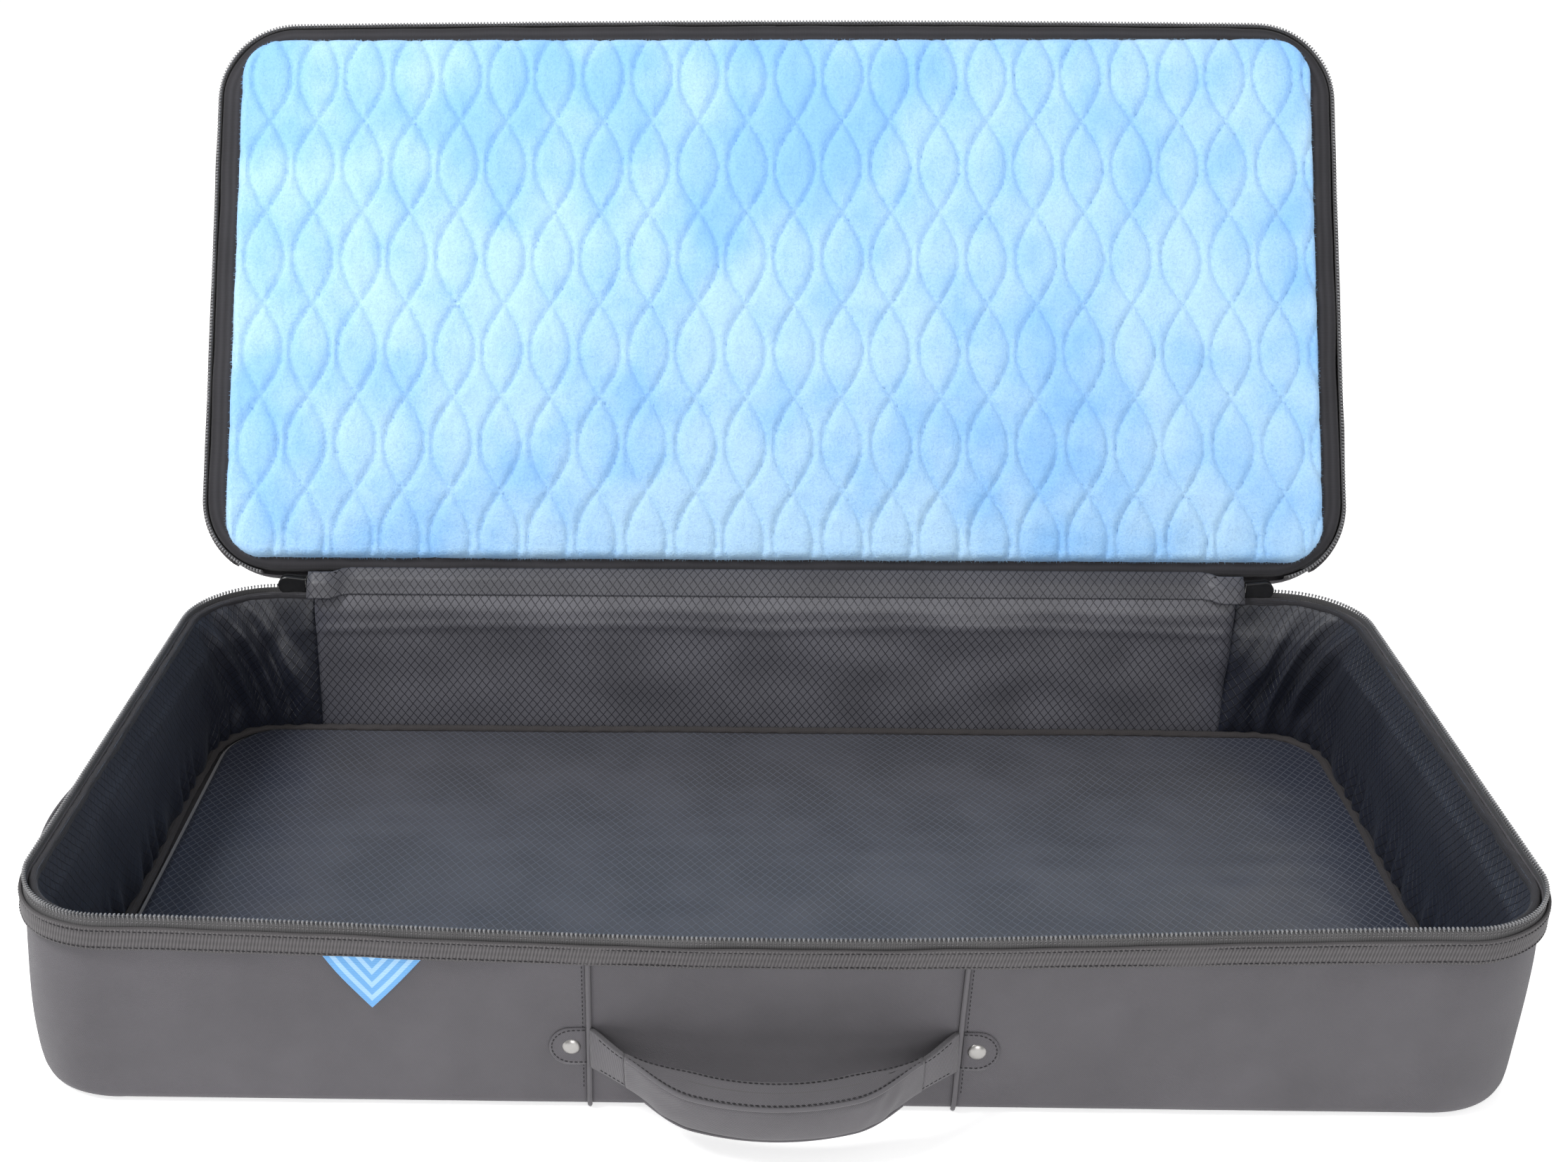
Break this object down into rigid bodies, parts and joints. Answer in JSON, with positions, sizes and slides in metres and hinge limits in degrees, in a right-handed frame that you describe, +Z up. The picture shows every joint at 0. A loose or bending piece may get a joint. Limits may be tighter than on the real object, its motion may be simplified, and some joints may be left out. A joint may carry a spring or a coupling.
{
  "type": "padded gig bag",
  "caption": "Zip-round padded gig bag: shallow lined tray, hinged lid with quilted plush lining, webbing carry handles, zip sliders and a flat lid pocket.",
  "frame": {"origin": "middle of the tray's flat underside", "axes": "+X along the bag's length, +Y to the hinge at the rear, +Z up from the ground"},
  "size_m": [0.9132, 0.746, 0.5029],
  "materials": {
    "outer_cloth": "dark warm-grey twill, matt",
    "ripstop_lining": "dark diamond ripstop with a faint sheen",
    "binding": "dark grey bound edge",
    "trim_tape": "grey herringbone tape",
    "zipper_tape": "grey woven zip tape",
    "zipper_coil": "grey nylon coil, slight shine",
    "webbing": "dark grey webbing, stitched edges",
    "grip_cloth": "padded twill wrap",
    "blue_ribbon": "sky-blue ribbon",
    "blue_plush": "sky-blue quilted plush",
    "rivet_metal": "bright nickel cap",
    "slider_metal": "black die-cast, semi-gloss",
    "board": "stiff sheet",
    "foam": "closed-cell foam"
  },
  "bodies": {
    "tray": {"base_board": "board", "base_foam": "foam", "base_panel": "outer_cloth", "floor_binding": "binding", "floor_panel": "ripstop_lining", "front_foam": "foam", "front_handle_patches": "outer_cloth", "front_handle_rivets": "rivet_metal", "front_handle_strap_ends": "webbing", "front_left_corner_foam": "foam", "front_lining": "ripstop_lining", "front_right_corner_foam": "foam", "handle_panel": "outer_cloth", "handle_seam_piping": "binding", "hinge_strip": "binding", "left_foam": "foam", "left_gusset": "outer_cloth", "left_lining": "ripstop_lining", "rear_foam": "foam", "rear_left_corner_foam": "foam", "rear_lining": "ripstop_lining", "rear_panel": "outer_cloth", "rear_right_corner_foam": "foam", "right_foam": "foam", "right_gusset": "outer_cloth", "right_lining": "ripstop_lining", "rim_binding": "binding", "side_handle_patches": "outer_cloth", "side_handle_rivets": "rivet_metal", "side_handle_strap_ends": "webbing", "side_tag": "blue_ribbon", "tray_zipper_coil": "zipper_coil", "tray_zipper_tape": "zipper_tape", "trim_band": "trim_tape", "zipper_tails": "zipper_tape"},
    "lid": {"lid_foam": "foam", "lid_gusset": "outer_cloth", "lid_lining": "blue_plush", "lid_lining_binding": "binding", "lid_panel": "outer_cloth", "lid_pocket": "outer_cloth", "lid_trim_band": "trim_tape", "lid_zipper_coil": "zipper_coil", "lid_zipper_tape": "zipper_tape", "pocket_zipper_coil": "zipper_coil", "pocket_zipper_tape": "zipper_tape"},
    "front_handle": {"front_handle_strap": "webbing", "front_handle_grip": "grip_cloth"},
    "side_handle": {"side_handle_strap": "webbing", "side_handle_grip": "grip_cloth"},
    "left_slider": {"left_slider": "slider_metal"},
    "left_pull": {"left_pull": "slider_metal"},
    "right_slider": {"right_slider": "slider_metal"},
    "right_pull": {"right_pull": "slider_metal"},
    "pocket_slider": {"pocket_slider": "slider_metal"},
    "pocket_pull": {"pocket_pull": "slider_metal"}
  },
  "joints": [
    {"name": "lid_hinge", "type": "hinge", "parent": "tray", "child": "lid", "pos_m": [0, 0.2206, 0.128], "axis": [-1, 0, 0], "range_deg": [-122, 58]},
    {"name": "front_handle_swing", "type": "hinge", "parent": "tray", "child": "front_handle", "pos_m": [0, -0.2215, 0.0455], "axis": [-1, 0, 0], "range_deg": [-30, 58]},
    {"name": "side_handle_swing", "type": "hinge", "parent": "tray", "child": "side_handle", "pos_m": [-0.431, 0.02, 0.0455], "axis": [0, 1, 0], "range_deg": [-30, 58]},
    {"name": "left_slider_travel", "type": "slide", "parent": "tray", "child": "left_slider", "axis": [1, 0, 0], "range_m": [-0.003, 0.018]},
    {"name": "right_slider_travel", "type": "slide", "parent": "tray", "child": "right_slider", "axis": [-1, 0, 0], "range_m": [-0.003, 0.018]},
    {"name": "left_pull_swing", "type": "hinge", "parent": "left_slider", "child": "left_pull", "pos_m": [-0.3694, 0.2206, 0.128], "axis": [0, 1, 0], "range_deg": [-62, 75]},
    {"name": "right_pull_swing", "type": "hinge", "parent": "right_slider", "child": "right_pull", "pos_m": [0.3694, 0.2206, 0.128], "axis": [0, -1, 0], "range_deg": [-62, 75]},
    {"name": "pocket_slider_travel", "type": "slide", "parent": "lid", "child": "pocket_slider", "axis": [-1, 0, 0], "range_m": [0, 0.52]},
    {"name": "pocket_pull_swing", "type": "hinge", "parent": "pocket_slider", "child": "pocket_pull", "pos_m": [0.26578, 0.43946, 0.42824], "axis": [0, -0.848, 0.5299], "range_deg": [-62, 75]}
  ]
}
